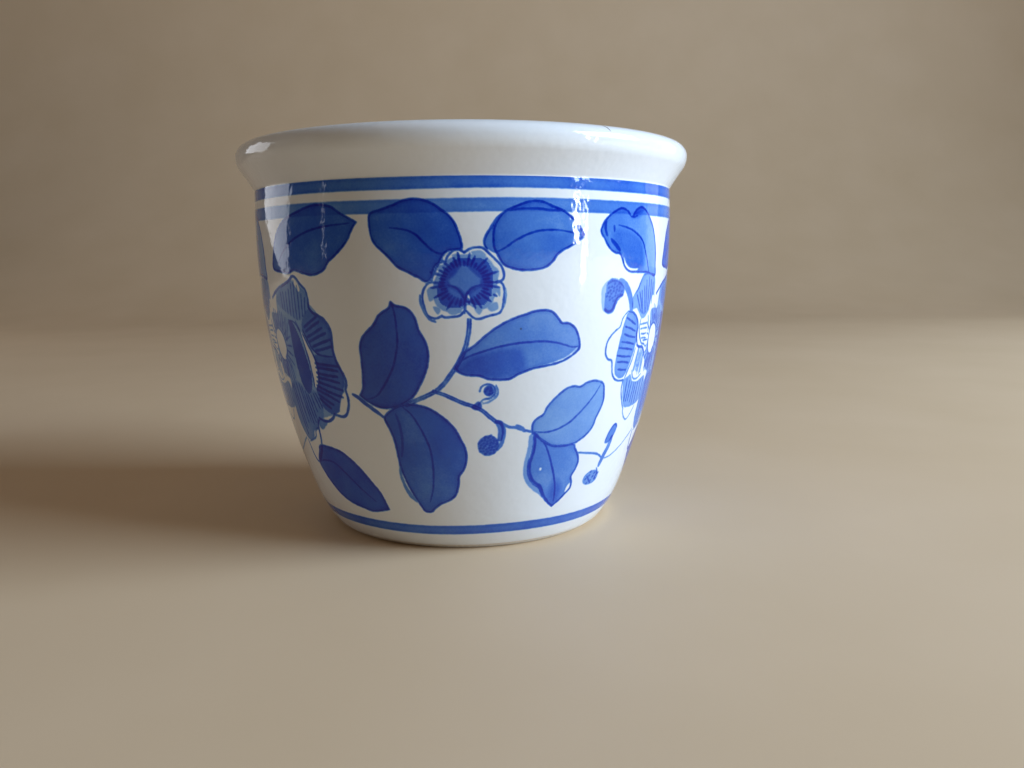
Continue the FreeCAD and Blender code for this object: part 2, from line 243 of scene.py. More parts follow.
def spun(name, outline, steps, start=0.0, sweep=360.0, crease=35.0):
    """A closed outline of (radius, height) points in mm, turned about Z as clay is on a wheel.

    A full turn closes on itself; a part turn gets a flat face at each end. Angles are in degrees
    from the camera's side, towards the right.
    """
    bm = bmesh.new()
    side = math.radians(start - 90)
    verts = [
        bm.verts.new((r * MM * math.cos(side), r * MM * math.sin(side), z * MM)) for r, z in outline
    ]
    edges = [bm.edges.new((verts[i], verts[(i + 1) % len(verts)])) for i in range(len(verts))]
    full = sweep >= 360.0
    if not full:
        bm.faces.new(verts)
    result = bmesh.ops.spin(
        bm, geom=verts + edges, cent=(0, 0, 0), axis=(0, 0, 1), dvec=(0, 0, 0),
        angle=math.radians(sweep), steps=steps, use_merge=full, use_normal_flip=False,
        use_duplicate=False,
    )
    if not full:
        last = [item for item in result["geom_last"] if isinstance(item, bmesh.types.BMEdge)]
        bmesh.ops.contextual_create(bm, geom=last)
    poles = [vert for vert in bm.verts if math.hypot(vert.co.x, vert.co.y) < 1e-6]
    bmesh.ops.remove_doubles(bm, verts=poles, dist=1e-6)
    piece = made(name, bm)
    piece.data.set_sharp_from_angle(angle=math.radians(crease))
    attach(piece, "root")
    return piece


clay_arc = FOOT_ARC - GLAZE
edge = FOOT_EDGE_ROUND
outer_reach = math.sqrt((clay_arc - edge) ** 2 - (FOOT_CENTRE[1] - edge) ** 2)
outer_edge = (FOOT_CENTRE[0] + outer_reach, edge)
clay_low = math.atan2(edge - FOOT_CENTRE[1], outer_reach)
clay_high = math.asin((FOOT_TOP - FOOT_CENTRE[1]) / clay_arc)
foot_ring = spun(
    "turned_foot_ring",
    arc((HOLLOW_RADIUS + edge, edge), edge, math.pi, 1.5 * math.pi, 6)
    + arc(outer_edge, edge, -math.pi / 2, clay_low, 5)
    + arc(FOOT_CENTRE, clay_arc, clay_low, clay_high, 5)[1:]
    + [(HOLLOW_RADIUS, FOOT_TOP)],
    FOOT_STEPS,
)
foot_ring.data.materials.append(bare_clay)
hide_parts("foot_ring")

# The glaze under the cup: a thin flat coat of clear glaze, fired onto the hollowed floor inside
# the foot ring.
# feldspar glaze over white porcelain: cool white, wet and sharp in its shine, with a slow
# ripple from running in the kiln, fine orange peel, and a few tiny iron specks
GLAZE_WHITE, IRON = "e9edf0", "8a7a68"
GLAZE_IOR, GLAZE_ROUGHNESS = 1.52, 0.06
RUN_LENGTH, PEEL = 9.0, 1.5     # mm, from one ripple to the next
RIPPLE_DEPTH = 0.075            # mm
PEEL_SHARE = 0.52               # of the ripple's depth
SPECKS_APART = 11               # mm
SPECK_CORE, SPECK_EDGE = 0.012, 0.022    # shares of that, from a speck's middle


def glaze_material(name):
    """Clear gloss glaze. Gives back the material, its tree, its shader, its place and a white."""
    material, tree, surface = new_material(name)
    where = add(tree, "TexCoord", {}, out="Object")
    runs = add(tree, "TexNoise", {}, Vector=where, Scale=1 / (RUN_LENGTH * MM), Detail=2.0)
    peel = add(tree, "TexNoise", {}, Vector=where, Scale=1 / (PEEL * MM), Detail=1.0)
    ripple = add(tree, "Math", {"operation": "MULTIPLY_ADD"}, peel, PEEL_SHARE, runs)
    bump = add(tree, "Bump", {}, Strength=1.0, Distance=RIPPLE_DEPTH * MM, Height=ripple)
    wire(surface, Roughness=GLAZE_ROUGHNESS, IOR=GLAZE_IOR, Normal=bump)
    cells = add(tree, "TexVoronoi", {}, Vector=where, Scale=1 / (SPECKS_APART * MM), out="Distance")
    speck = add(tree, "MapRange", {}, cells, SPECK_CORE, SPECK_EDGE, 0.75, 0.0)
    colours = {"A": srgb(GLAZE_WHITE), "B": srgb(IRON)}
    white = add(tree, "Mix", MIXES_COLOURS, Factor=speck, **colours, out="Result")
    return material, tree, surface, where, white


white_glaze, tree, surface, where, white = glaze_material("clear_glaze_over_white_porcelain")
# a short hairline that slants over the crest of the lip, stained brown by tea
CRACK_STAIN = "4a4038"
CRACK_AT, CRACK_HEIGHT, CRACK_RADIUS = 32.0, 74.5, 44.1    # degrees to the right, mm, mm
CRACK_REACH = (1.3 * MM, 0.16 * MM, 0.9 * MM)
turn = math.radians(CRACK_AT)
outward = Vector((math.sin(turn), -math.cos(turn), 0.0))
sideways = Vector((math.cos(turn), math.sin(turn), 0.0))
along = (0.55 * sideways + 0.70 * outward + Vector((0, 0, -0.46))).normalized()
across = along.cross(Vector((0, 0, 1))).normalized()
crack_turn = Matrix((along, across, along.cross(across))).transposed().to_euler()
crack_place = CRACK_RADIUS * MM * outward + Vector((0, 0, CRACK_HEIGHT * MM))
crack = (crack_place, crack_turn, CRACK_REACH)
crack = add(tree, "Mapping", {"vector_type": "TEXTURE"}, where, *crack)
crack = add(tree, "TexGradient", {"gradient_type": "SPHERICAL"}, crack)
crack = add(tree, "MapRange", {}, crack, 0.0, 0.45, 0.0, 0.85)
stained = add(tree, "Mix", MIXES_COLOURS, Factor=crack, A=white, B=srgb(CRACK_STAIN), out="Result")
wire(surface, Base_Color=stained)
base_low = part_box("base_glaze")[0][2] / MM
face_edges = (0.0, HOLLOW_RADIUS * 0.5, HOLLOW_RADIUS - 1.6, HOLLOW_RADIUS)
under_glaze = spun(
    "glaze_under_foot",
    [*[(radius, base_low) for radius in face_edges], (HOLLOW_RADIUS, FOOT_TOP), (0.0, FOOT_TOP)],
    FOOT_STEPS,
)
under_glaze.data.materials.append(white_glaze)
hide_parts("base_glaze")

# The lip and the lining: one skin of white glaze from the neck, out over the flared lip, round
# its crest, and down the inside to the floor that the tea stands on.
LIP_ROUND, UNDER_LIP, INNER_LIP_ROUND = 2.2, 4.0, 1.0
LIP_CENTRE = (LIP_RADIUS - LIP_ROUND, CREST_HEIGHT - LIP_ROUND)
UNDER_LIP_CENTRE = (LIP_RADIUS - UNDER_LIP, LIP_CENTRE[1])
FLARE_CENTRE = (92.8, 35.2)
FLARE_ARC = math.dist(FLARE_CENTRE, UNDER_LIP_CENTRE) - UNDER_LIP
WALL_THICKNESS, INNER_FLARE, CORNER = 3.0, 25.0, 18.0
INNER_WALL = WALL_ARC - WALL_THICKNESS
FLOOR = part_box("inner_glaze")[0][2] / MM + GLAZE
TOP_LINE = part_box("cobalt_upper_line")[1][2] / MM
LIP_STEPS = 360


def crossing(first, first_radius, second, second_radius, side):
    """Where two circles meet, left (1) or right (-1) of the way from first to second."""
    apart = math.dist(first, second)
    along = (first_radius ** 2 - second_radius ** 2 + apart ** 2) / (2 * apart)
    aside = side * math.sqrt(first_radius ** 2 - along ** 2)
    ux, uz = (second[0] - first[0]) / apart, (second[1] - first[1]) / apart
    return (first[0] + along * ux - aside * uz, first[1] + along * uz + aside * ux)


def heading(centre, point):
    return math.atan2(point[1] - centre[1], point[0] - centre[0])


inner_lip = (LIP_CENTRE[0], CREST_HEIGHT - INNER_LIP_ROUND)
inner_flare = crossing(
    WALL_CENTRE, INNER_WALL + INNER_FLARE, inner_lip, INNER_FLARE - INNER_LIP_ROUND, -1
)
corner_rise = FLOOR + CORNER - WALL_CENTRE[1]
corner = (
    WALL_CENTRE[0] + math.sqrt((INNER_WALL - CORNER) ** 2 - corner_rise ** 2), FLOOR + CORNER
)


def skin(inset, finer):
    """The outline from the top painted line, over the lip, to the middle of the floor."""
    neck = crossing(WALL_CENTRE, WALL_ARC - inset, FLARE_CENTRE, FLARE_ARC + inset, 1)
    line_turn = math.asin((TOP_LINE - WALL_CENTRE[1]) / (WALL_ARC - inset))
    flare_turn = heading(FLARE_CENTRE, UNDER_LIP_CENTRE)
    inner_turn = heading(inner_flare, inner_lip)
    flare_foot = heading(WALL_CENTRE, inner_flare)
    corner_turn = heading(WALL_CENTRE, corner)
    stretches = (
        arc(WALL_CENTRE, WALL_ARC - inset, line_turn, heading(WALL_CENTRE, neck), 1),
        arc(FLARE_CENTRE, FLARE_ARC + inset, heading(FLARE_CENTRE, neck), flare_turn, 6 * finer),
        arc(UNDER_LIP_CENTRE, UNDER_LIP - inset, flare_turn - math.pi, 0, 5 * finer),
        arc(LIP_CENTRE, LIP_ROUND - inset, 0, math.pi / 2, 7 * finer),
        arc(inner_lip, INNER_LIP_ROUND - inset, math.pi / 2, inner_turn, 4 * finer),
        arc(inner_flare, INNER_FLARE - inset, inner_turn, flare_foot + math.pi, 8 * finer),
        arc(WALL_CENTRE, INNER_WALL + inset, flare_foot, corner_turn, 10 * finer),
        arc(corner, CORNER + inset, corner_turn, -math.pi / 2, 8 * finer),
        [(corner[0] * (1 - i / (4 * finer)), FLOOR - inset) for i in range(1, 4 * finer + 1)],
    )
    points = []
    for point in (point for stretch in stretches for point in stretch):
        if not points or math.dist(points[-1], point) > 1e-4:
            points.append(point)
    return points


lip_and_lining = spun("lip_and_lining", skin(0.0, 3) + skin(GLAZE, 1)[::-1], LIP_STEPS, crease=50.0)
lip_and_lining.data.materials.append(white_glaze)
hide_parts("inner_glaze", "outer_glaze")


# The brushwork: cobalt laid on under the glaze, thin washes filled in by brush inside darker
# lines. Each mark is placed in degrees round the cup and millimetres of height. Sprays of leaves
# and open blooms take turns round the wall, three of each.
marks = []
MM_PER_DEGREE = 0.7     # round the wall, on average
BERRY_RADIUS = 36       # mm from the cup's axis, low on the wall where the berries are
LINE_WIDTH = 0.34


def flowing(points, closed=False, steps=6):
    """A smooth line through given points. A point given twice is a sharp corner."""
    p = np.array(points, dtype=float)
    count = len(p)
    out = []
    for i in range(count if closed else count - 1):
        if closed:
            a, b, c, d = p[(i - 1) % count], p[i], p[(i + 1) % count], p[(i + 2) % count]
        else:
            a, b, c, d = p[max(i - 1, 0)], p[i], p[i + 1], p[min(i + 2, count - 1)]
        if np.allclose(b, c):
            continue
        for t in np.arange(steps) / steps:
            out.append(
                0.5 * (2 * b + (c - a) * t + (2 * a - 5 * b + 4 * c - d) * t ** 2
                       + (3 * b - a - 3 * c + d) * t ** 3)
            )
    if not closed:
        out.append(p[-1])
    return np.array(out)


def wash(points, tone, far_tone=None, over=None):
    """A patch of thin colour, tone strong at its first point and far_tone at its far side.

    One laid over another only changes its strength, across an edge that is over mm wide.
    """
    marks.append(("over" if over else "wash", flowing(points, closed=True), tone, far_tone, over))


def bare(points):
    """A patch that the colour is kept off."""
    marks.append(("bare", flowing(points, closed=True), 0.0, None, None))


def line(points, width=LINE_WIDTH, tone=1.5, taper=0.5, closed=False):
    """A brush line. taper is how wide its ends are, as a share of width."""
    path = flowing(points, closed=closed)
    if closed:
        path = np.vstack([path, path[:1]])
    where = np.linspace(0, 1, len(path))
    ends = 1.0 if closed else taper
    half_widths = width / 2 * (ends + (1 - ends) * np.sin(math.pi * where) ** 0.6)
    marks.append(("line", path, tone, half_widths, None))


def double_line(points, apart, tone=1.8):
    """A stem: two fine lines side by side, with thin colour between them."""
    p = np.array(points, dtype=float)
    way = np.gradient(p, axis=0) * (MM_PER_DEGREE, 1.0)
    across = np.stack([-way[:, 1], way[:, 0]], axis=1) / np.hypot(way[:, 0], way[:, 1])[:, None]
    across[:, 0] /= MM_PER_DEGREE
    left, right = p + across * apart / 2, p - across * apart / 2
    wash([*left, *right[::-1]], 0.55)
    for edge in (left, right):
        line(edge, 0.26, tone, taper=0.8)


def hatch(start, end, count, width=0.30, tone=1.0):
    """Fine lines from one curve towards another, as in the pleats of a petal."""
    a, b = flowing(start, steps=12), flowing(end, steps=12)
    for i in range(count):
        near = a[round((i + 0.5) / count * (len(a) - 1))]
        far = b[round((i + 0.5) / count * (len(b) - 1))]
        reach = 0.90 + 0.10 * math.sin(5.1 * i + 1.0)
        bow = 0.10 * math.sin(2.3 * i)
        line([near, near + (far - near) * 0.5 * reach + bow, near + (far - near) * reach],
             width, tone, taper=0.75)


def leaf(outline, vein, tone, far_tone=None, ink=1.7):
    wash(outline, tone, far_tone)
    line(outline, LINE_WIDTH, ink, closed=True)
    line(vein, LINE_WIDTH, ink * 0.85, taper=0.4)


def dots(centre, half_across, half_tall, count, width, tone, touch):
    """Dots spiralled over a round, each one a touch of the brush that moves it a little."""
    for i in range(count):
        out, turn = math.sqrt((i + 0.5) / count), 2.4 * i
        x = centre[0] + half_across * out * math.cos(turn)
        y = centre[1] + half_tall * out * math.sin(turn)
        line([(x, y), (x + touch[0], y + touch[1])], width, tone, taper=1.0)


def stipple(centre, across, tall, tone, count):
    """A berry, its size in mm: a round of thin colour with darker dots spiralled over it."""
    half_across, half_tall = across / 2 / math.radians(1) / BERRY_RADIUS, tall / 2
    wash([(centre[0] + half_across * math.cos(t), centre[1] + half_tall * math.sin(t))
          for t in np.radians(np.arange(0, 360, 36))], tone)
    dots(centre, 0.95 * half_across, 0.95 * half_tall, count, 0.40, 0.85, (0.25, 0.12))


def fringe(centre, half_across, half_tall, count, start, reach, swing, beat, width, tone):
    """Short strokes that ray out from a round; their length swings from one to the next."""
    for i in range(count):
        turn, far = math.radians(360 / count * i), reach + swing * math.sin(beat * i)
        across, tall = half_across * math.cos(turn), half_tall * math.sin(turn)
        line([(centre[0] + share * across, centre[1] + share * tall) for share in (start, far)],
             width, tone)


# The spray: a small open flower between two leaves that touch the lower line, a double stem down
# to a pair of leaves, a long leaf, and a side twig with a curl, a berry and a second pair.
leaf([(-4.6, 54.4), (-1, 55), (-1.1, 56.5), (-1.7, 57.9), (-2.5, 59.3), (-3.7, 60.4), (-5, 61.1),
      (-6.5, 61.9), (-8.5, 62.6), (-11, 63), (-13.5, 62.8), (-16, 62.1), (-19, 61.4), (-21.7, 60.7),
      (-21.9, 59), (-21.6, 57.3), (-20.7, 55.9), (-19, 54.8), (-17, 53.4), (-15.5, 52.2),
      (-13, 51.3), (-11, 50.6), (-8.2, 50)],
     [(-4.5, 54.3), (-6, 54.3), (-7.6, 54.9), (-9.2, 56), (-11, 57.3), (-13.3, 58.1), (-17, 58.5)],
     1.45, 1.2)
leaf([(6.5, 55), (6.2, 56.4), (6.4, 58.1), (7.3, 59.7), (9.1, 61), (12, 61.9), (14, 62.4),
      (16, 62.6), (18, 62.4), (20, 61.8), (23, 61), (26, 59.4), (28.6, 57.1), (28.6, 57.1),
      (26.2, 55.9), (24.3, 55.2), (22.5, 54.6), (21.2, 53.9), (20.3, 53), (19, 52.2), (17.3, 51.7),
      (15, 51.5), (12.5, 51.5), (10.5, 51.8), (9, 52.2), (8.1, 52.8), (7.3, 53.8)],
     [(6.8, 54.4), (9, 55.2), (11, 56.2), (13.5, 57.1), (16, 57.7), (18, 57.9), (22, 57.9),
      (28, 57.2)], 1.2, 0.85)
wash([(8.4, 53.9), (12, 53.2), (17, 53), (21.5, 55), (25, 57.2), (20, 57.5), (16, 57.3),
      (12, 56), (9.5, 54.9)], 1.15, over=1.2)
wash([(6.8, 59.2), (5.4, 58), (4.4, 56.9), (4.1, 55.7), (5, 54.8), (7.2, 54.2), (6.4, 56.2)], 1.0)
line([(8.9, 61), (7, 59.8), (5.4, 58.1), (4.4, 56.9), (4.1, 55.8), (4.8, 54.9)], 0.4, 1.5)
line([(10, 61.1), (13, 61.35), (17, 61.35), (20, 61.1), (23, 61.2)], 0.4, 1.1)

# its open flower: scalloped white petals, mottled, round a dark fringed throat and a pale star
petal_edge = [
    (-0.3, 45.1), (-0.3, 45.1), (-1.6, 44.2), (-3.4, 44), (-4.9, 43.9), (-5.7, 44.2), (-5.7, 44.2),
    (-6.8, 43.8), (-8.1, 43.9), (-9.1, 44.4), (-9.7, 45.8), (-10, 47.2), (-9.7, 48.4), (-8.7, 49.4),
    (-7.7, 49.7), (-7.7, 49.7), (-7.5, 50.9), (-7, 52.1), (-5.9, 52.8), (-4.5, 53), (-4.5, 53),
    (-3.9, 53.9), (-2.8, 54.7), (-1.5, 54.9), (-0.3, 54.4), (-0.3, 54.4), (0.9, 55), (2.3, 55.2),
    (3.8, 55.1), (5.4, 54.1), (6.8, 53.1), (7.9, 52.2), (8.5, 51.1), (8.4, 50.2), (7.7, 49.7),
    (7.7, 49.7), (8.4, 49), (8.7, 47.9), (8.5, 46.7), (8.2, 45.3), (7.4, 44.5), (5.8, 44.2),
    (4.2, 43.9), (2.8, 43.6), (1.4, 43.9),
]
bare(petal_edge)
line(petal_edge, 0.34, 1.7, closed=True)
line([(-10.5, 47.6), (-10.4, 46.3), (-9.6, 44.9), (-8.6, 43.7), (-7.2, 43.2)], 0.5, 1.1)
line([(8.9, 48.6), (9, 47.2), (8.6, 45.6)], 0.30, 1.0)
for mottle in (
    [(-8.9, 48.4), (-7.6, 48.9), (-7.2, 47.2), (-8.4, 46.6)], [(-7.7, 45.7), (-5.9, 45.4), (-6.6, 44.4)],
    [(-4.4, 45.2), (-1.6, 45.3), (-1.2, 44.7), (-3.6, 44.3)], [(1.6, 45.4), (3.6, 45.2), (2.8, 44.3)],
    [(4.8, 45.6), (6.9, 46.4), (7.2, 45.2), (5.6, 44.8)], [(6.4, 48.6), (7.6, 48.8), (7.6, 47.2)],
    [(6.5, 52), (7.4, 51.4), (7.2, 50.4)], [(1.2, 54.5), (3.3, 54.7), (4.6, 53.8), (2.4, 53.6)],
    [(-3.2, 54), (-1.9, 54.2), (-1.8, 53.4)], [(-6.3, 52.2), (-5.2, 52.4), (-5.6, 51.2)],
):
    wash(mottle, 0.52)
wash([(-7.1, 46.2), (-7.6, 48.4), (-6.8, 50.5), (-5.4, 52.3), (-3.4, 53.6), (-1.2, 54.1), (1.6, 54.1),
      (4.4, 53.8), (6.1, 52.5), (7.1, 51), (7, 49), (6.4, 47), (5, 45.5), (2.4, 45.1),
      (0.3, 45.9), (-1.8, 44.8), (-5, 44.9)], 0.55)
wash([(-6.1, 46.6), (-6.5, 48.4), (-5.7, 50.3), (-4.6, 51.8), (-3, 53), (-1.2, 53.5), (1.3, 53.4),
      (3.6, 53.4), (5.2, 52.5), (6, 51), (6, 49.2), (5.4, 47.4), (4.2, 46.1), (2.2, 45.9),
      (0.3, 46.4), (-1.6, 45.5), (-4.2, 45.6)], 1.7)
fringe((-0.4, 49.6), 6.0, 3.75, 36, 0.72, reach=1.14, swing=0.22, beat=4, width=0.40, tone=1.5)
wash([(-0.6, 52.9), (-0.6, 52.9), (0.8, 51.8), (1.9, 51), (3.3, 50.2), (3.3, 50.2), (2.9, 49.1),
      (1.2, 48.7), (-0.3, 47.8), (-0.3, 47.8), (-1.7, 48.8), (-3.3, 49.2), (-4, 50), (-4, 50),
      (-2.6, 50.8), (-1.5, 51.9)], 0.95, over=0.4)
wash([(-4, 48.7), (-2.2, 48.2), (-0.7, 46.9), (-2.4, 46.6), (-3.8, 47.2)], 1.2, over=0.4)
wash([(3.5, 48.7), (1.8, 48.2), (0.4, 47.3), (1.6, 46.8), (3.4, 47.2)], 1.2, over=0.4)
line([(-4.1, 49.2), (-2.4, 48.8), (-1.2, 47.9), (-0.4, 46.7)], 0.34, 1.2)
line([(3.4, 49.2), (1.5, 48.8), (0.2, 47.8), (-0.2, 46.4), (-0.2, 45.1)], 0.34, 1.2)
bare([(0.3, 47.6), (0.7, 47.3), (0.7, 46.7), (0.2, 46.7)])
line([(6.7, 49.6), (7.7, 49.7)], 0.5, 1.4)
line([(6.2, 47.6), (6.9, 47.3)], 0.34, 1.2)

# its stem, the long leaf and the lower pair
double_line([(0.6, 43.6), (0.4, 41.5), (-0.5, 38.7), (-2.2, 36.2), (-4, 34.4), (-5.7, 32.8),
             (-8.2, 31.3), (-12.5, 29.9), (-16, 28.8)], 0.50)
leaf([(-28.6, 30.2), (-28.6, 30.2), (-27.5, 31.4), (-27, 33.5), (-26.8, 35.3), (-26.7, 37),
      (-26.7, 38.6), (-26, 40.1), (-24.6, 41.3), (-23, 42.2), (-21.9, 43.1), (-21, 44.1),
      (-19.6, 44.9), (-18.2, 45.5), (-17.6, 46.5), (-17.6, 46.5), (-16.5, 45.9), (-14.3, 45.6),
      (-12.8, 44.8), (-11.9, 43.7), (-11.5, 42.5), (-10.9, 41.3), (-10, 40.2), (-9.4, 38.8),
      (-9.3, 37), (-9.9, 35.2), (-10.8, 33.7), (-12, 32.2), (-13.4, 30.7), (-15.5, 29.5),
      (-18.5, 28.5), (-22.7, 28.2), (-26.3, 29.1)],
     [(-26.8, 29.6), (-24.8, 29.9), (-23.1, 30.6), (-21.5, 31.9), (-19.8, 33.6), (-18.2, 35.6),
      (-17.2, 37.8), (-16.6, 39.8), (-16.6, 42), (-16.8, 44.5), (-17.3, 46)], 1.7, 1.5)
leaf([(-17.5, 28.7), (-14.7, 29), (-10.7, 28.5), (-7, 27), (-3.9, 24.9), (-2.1, 22.6), (-1, 21),
      (-0.7, 19), (-1.5, 17), (-2.9, 15.7), (-3.2, 14), (-4.1, 12), (-6.3, 10.8), (-9.1, 10),
      (-11, 9.1), (-12.2, 8.4), (-14.2, 8.5), (-15.3, 9.6), (-17.1, 11.8), (-18.7, 14.4),
      (-19.7, 17), (-20.1, 20), (-20.4, 22.3), (-21.4, 24.6), (-22.3, 26.3), (-20.5, 27.6)],
     [(-16.8, 28.4), (-14.8, 27.2), (-13.2, 25.4), (-11.7, 23.2), (-10.6, 21), (-10.2, 18.4),
      (-10.3, 15.8), (-10.9, 13), (-12.2, 10.4)], 1.5, 1.3)
wash([(-17.4, 28.2), (-17.2, 25), (-16.8, 21), (-16, 17), (-14.2, 12.5), (-13, 9.8), (-11.4, 12.5),
      (-10.7, 16), (-10.7, 20.5), (-12.2, 24), (-14.9, 26.8)], 1.3, over=1.2)
wash([(-19.9, 18.5), (-19.6, 15.2), (-18.3, 12.7), (-16.2, 10.2), (-18.5, 11.2), (-19.9, 13.2),
      (-20.6, 15.8)], 0.9)
line([(-19, 27.2), (-18.2, 24.8), (-18.1, 22.2), (-18.9, 19.2)], 0.5, 0.8)
line([(-31, 30.3), (-29.4, 29.8), (-27.2, 28.7), (-24.8, 27.6), (-22.4, 26.4)], 0.7, 1.7, taper=0.5)
leaf([(-3.1, 35.2), (-3.1, 35.2), (-1.6, 37.5), (1.7, 39.2), (4.3, 40.8), (7.3, 42.3), (10.3, 43.4),
      (13.7, 44.2), (16.3, 44.7), (18.5, 44.8), (20.6, 44.4), (22.2, 43.2), (23.2, 42.5), (25, 42.4),
      (26.8, 41.6), (28, 40.2), (28.6, 38.7), (28.4, 37.7), (26.4, 36.7), (24, 35.9), (21, 35.4),
      (16.7, 35), (14.6, 34.6), (12.3, 34), (10.3, 33.3), (7.7, 33.2), (5, 33.4), (2.7, 34),
      (-0.7, 34.2)],
     [(-2.3, 36.2), (0.5, 37.4), (3.5, 38.1), (7, 38.8), (11, 39.3), (15, 39.5), (19, 39.5),
      (23, 39), (26.3, 38.3), (28.4, 38.3)], 1.05, 0.72)
wash([(-2.4, 35.2), (0.5, 37), (4, 37.9), (8.5, 38.6), (12.6, 38.5), (13.9, 36.9), (14, 35),
      (11, 33.7), (7.7, 33.5), (5, 33.7), (2.7, 34.3), (-0.7, 34.5)], 1.75, 1.25, over=1.2)
bare([(18.4, 35.3), (22, 35.9), (25.3, 36.7), (28.2, 38.3), (26.4, 36.9), (23.5, 35.9)])

# its side twig: a curl, berries, the second pair of leaves and a thin tendril off to the right
double_line([(-8.6, 31.4), (-6, 30.8), (-3.5, 30), (-1, 29.2), (1.5, 28.6), (3.6, 27.8),
             (5.6, 26.6), (7.2, 25.7)], 0.42)
line([(7.2, 25.7), (8.6, 25.4), (10.6, 24.7), (12.4, 24.5), (14, 24.1), (17, 23.5)], 0.5, 1.3,
     taper=0.8)
wash([(0.7, 28.6), (1.6, 29.1), (2.6, 29.5), (3.4, 28.9), (3.1, 28.1), (1.7, 28)], 1.3)
line([(2.6, 28.9), (3.8, 29.8), (5.6, 30.1), (6.7, 30.9), (6.4, 32), (4.9, 32.5), (3.4, 32.1),
      (2.9, 31.3)], 0.34, 1.5, taper=0.8)
line([(3.6, 29.1), (5.3, 29.4), (7.1, 30.3), (7.4, 31.3), (6.9, 32.3)], 0.34, 1.0, taper=0.6)
stipple((5.1, 31.3), 1.6, 1.9, 1.35, 6)
wash([(6.7, 25.9), (8.6, 25.8), (9.3, 24.4), (8.9, 22.4), (7.7, 22.4), (7.7, 24.2)], 1.1)
line([(6.9, 25.7), (8.3, 25.6), (9.3, 24.2), (9, 22), (7.8, 20.6)], 0.7, 1.2, taper=0.7)
stipple((5.2, 21.4), 3.7, 3.9, 1.05, 34)
line([(12.6, 24.8), (13.8, 24.4), (15.2, 23.7)], 0.75, 1.2, taper=0.5)
leaf([(17.2, 23.4), (17.2, 25), (18.3, 25.9), (20, 26.6), (21, 28), (23.3, 29.6), (26, 30.9),
      (28.3, 31.2), (30.3, 31), (32.3, 31.6), (35, 31.8), (37.4, 31.4), (38.7, 30.7),
      (39.3, 29.1), (39.6, 27.8), (39, 26.3), (37.8, 24.6), (37.2, 23.1), (35.7, 21.9),
      (33.3, 20.9), (31, 20.3), (26.7, 20.2), (23.3, 20.6), (20.8, 21.6), (18.5, 22.6)],
     [(17.4, 23.5), (20.5, 23.2), (24, 23.4), (27.7, 24.3), (30.6, 25.7), (33.2, 27.3), (35.5, 29),
      (37.3, 30.8)], 0.72, 0.62, ink=1.4)
wash([(17.3, 23.1), (16.4, 22.6), (16.3, 20.5), (15.8, 18.3), (15.6, 16.3), (16.2, 14.5),
      (17.6, 13.1), (19.5, 12), (21.6, 11.1), (23.3, 10.2), (22.9, 12), (20.3, 12.9), (18.3, 14.1),
      (17.4, 16.1), (17.2, 18.5), (17.8, 21)], 0.6)
leaf([(17.9, 23.2), (18, 21.4), (17.8, 19.5), (17.1, 17.6), (17.2, 16.1), (18.3, 14.2),
      (20.3, 12.9), (22.4, 12.1), (23.2, 10.6), (25.4, 9.1), (27.7, 8), (27.7, 8), (29.9, 9),
      (31.9, 10.2), (33.5, 11.2), (33.4, 12.5), (32.7, 13.6), (33.8, 15.1), (34.2, 16.6),
      (33.4, 18), (32, 19.2), (31, 20.2), (28, 20.1), (24, 20.4), (20.5, 21.6)],
     [(20.3, 21.9), (21.9, 20.4), (23.4, 18.4), (24.9, 16.2), (26.3, 13.9), (27.4, 11.6),
      (27.9, 9)], 0.95, 0.82, ink=1.6)
line([(17.8, 23.1), (18.2, 21.4), (18, 19.4), (17.3, 17.4), (17.7, 15.3), (19.4, 13.6),
      (21.9, 12.4), (23.3, 10.7), (25.4, 9.2)], 0.75, 1.2, taper=0.6)
wash([(26.4, 13.4), (28.8, 12.8), (29.9, 10.8), (28, 8.4), (25.8, 9.6), (25.2, 11.4)], 1.35,
     over=1.2)
bare([(31.6, 10.5), (33, 11.3), (32.9, 12.3), (32.1, 11.8)])
bare([(20.8, 16.4), (21.4, 16.3), (21.3, 15.8), (20.7, 15.9)])
line([(33.4, 18.3), (36.7, 17.9), (40, 17.5), (42.6, 17), (44.6, 16.2)], 0.4, 1.2, taper=0.8)
wash([(44.3, 19.2), (45.4, 21.2), (47.6, 22.6), (49.2, 22), (48.6, 20.4), (46.4, 19)], 0.95)
line([(44.6, 19.6), (45.6, 21.3), (47.6, 22.5), (49, 21.9)], 0.4, 1.0)
line([(47.6, 19.9), (46.9, 18.1), (45.6, 16.4), (44.6, 14.6)], 1.15, 1.0, taper=0.7)
line([(46.5, 15.8), (49, 15.9), (52, 16.5), (56, 17.7), (62, 20)], 0.30, 0.8, taper=0.8)
stipple((42, 12.4), 4.6, 3.0, 0.7, 9)
line([(43.6, 14.2), (44.6, 13.2), (44, 11.8)], 0.34, 1.1)
line([(39.9, 12.9), (41.3, 12), (42.5, 11.2)], 0.34, 1.1)

